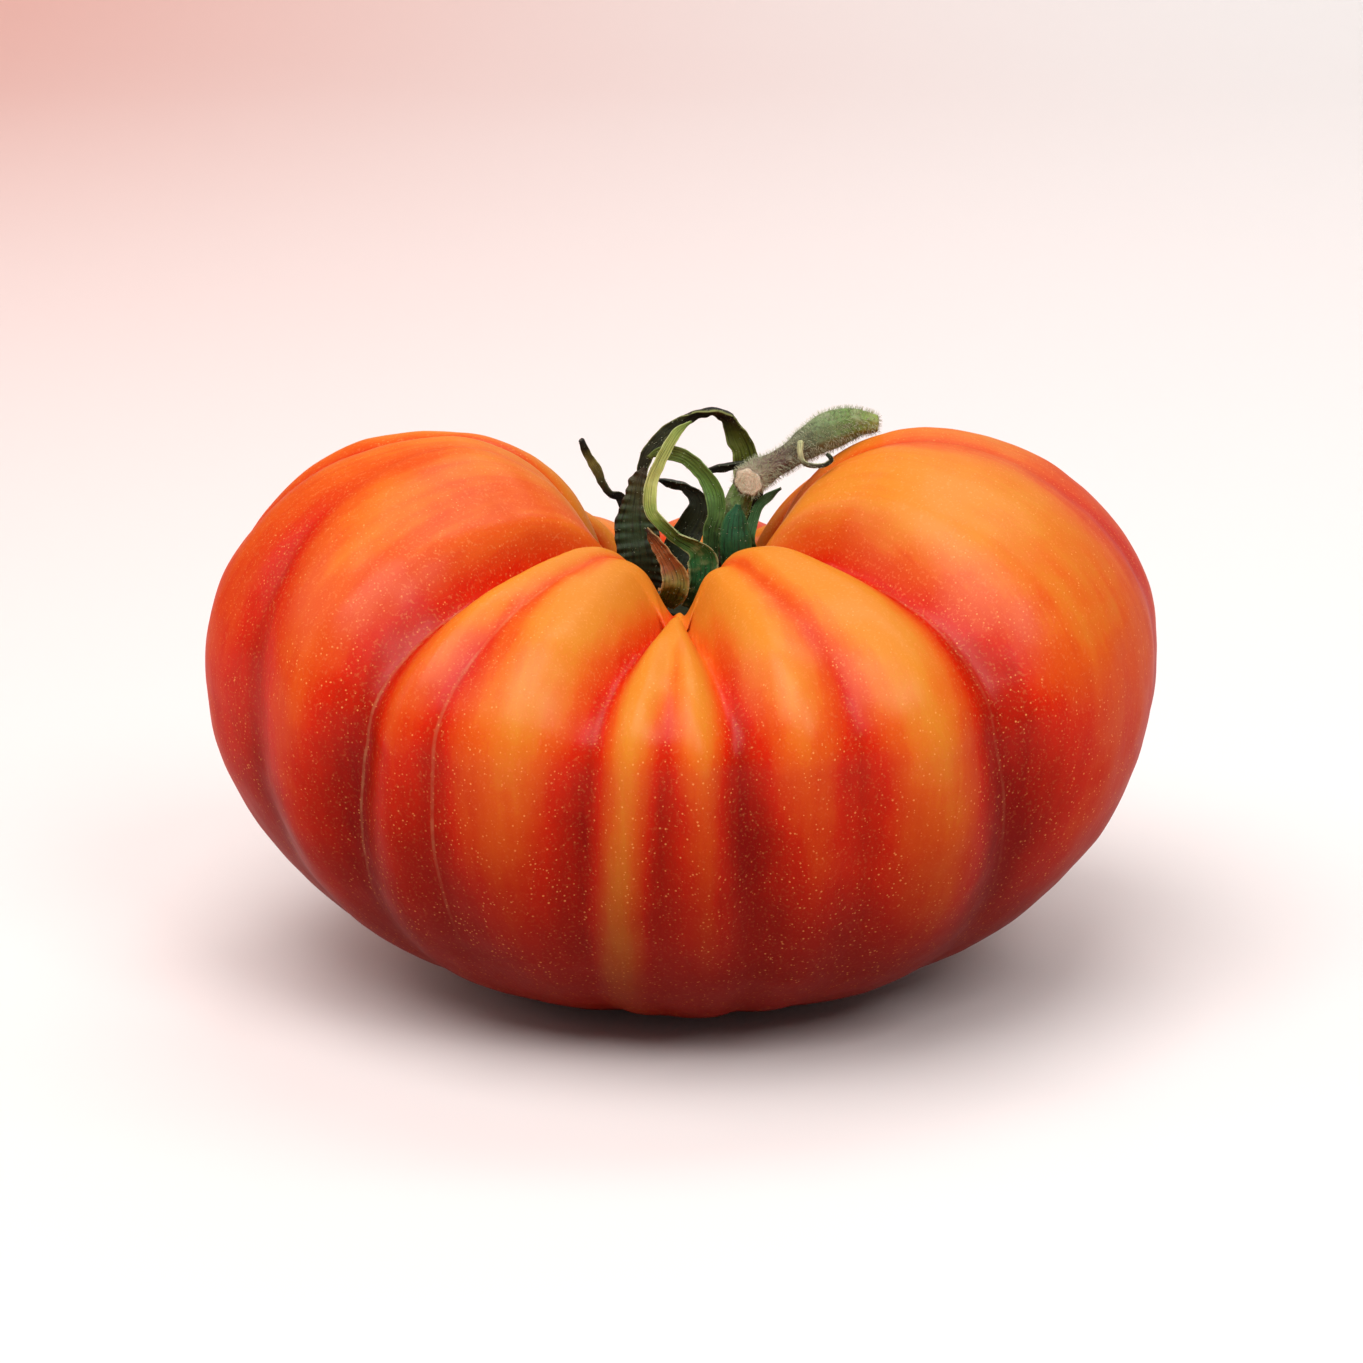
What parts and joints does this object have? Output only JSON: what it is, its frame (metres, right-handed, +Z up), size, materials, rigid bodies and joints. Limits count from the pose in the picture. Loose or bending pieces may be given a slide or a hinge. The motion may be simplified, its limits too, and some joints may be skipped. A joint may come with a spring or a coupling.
{
  "type": "ribbed beefsteak tomato",
  "caption": "Large ribbed, two-lobed tomato as picked, with a curled calyx in its stem cavity and a short cut stem, resting on a small flat spot.",
  "frame": {"origin": "centre of the small flat spot that the fruit rests on, on the fruit's axis", "axes": "+Z up through the stem cavity; +X along the width, towards the lobe that the stem lies over; -Y towards the front, where the notch between the lobes opens"},
  "size_m": [0.1199, 0.0963, 0.0741],
  "materials": {
    "fruit_skin": "waxy satin skin, orange on the rib crests, deep red in the creases",
    "sepal_green": "matte, slightly hairy leaf",
    "sepal_dry": "dry, wrinkled and matte",
    "stem_bark": "dry grey-green bark with fine hairs"
  },
  "bodies": {
    "root": {"fruit": "fruit_skin", "stem": "stem_bark", "tendril": "sepal_dry", "sepal_arch": "sepal_green", "sepal_front": "sepal_green", "sepal_inner": "sepal_green", "sepal_face": "sepal_green", "sepal_right": "sepal_green", "sepal_left": "sepal_green", "sepal_spike": "sepal_green", "sepal_cross": "sepal_dry", "sepal_rear": "sepal_dry", "sepal_dried": "sepal_dry"}
  },
  "joints": []
}
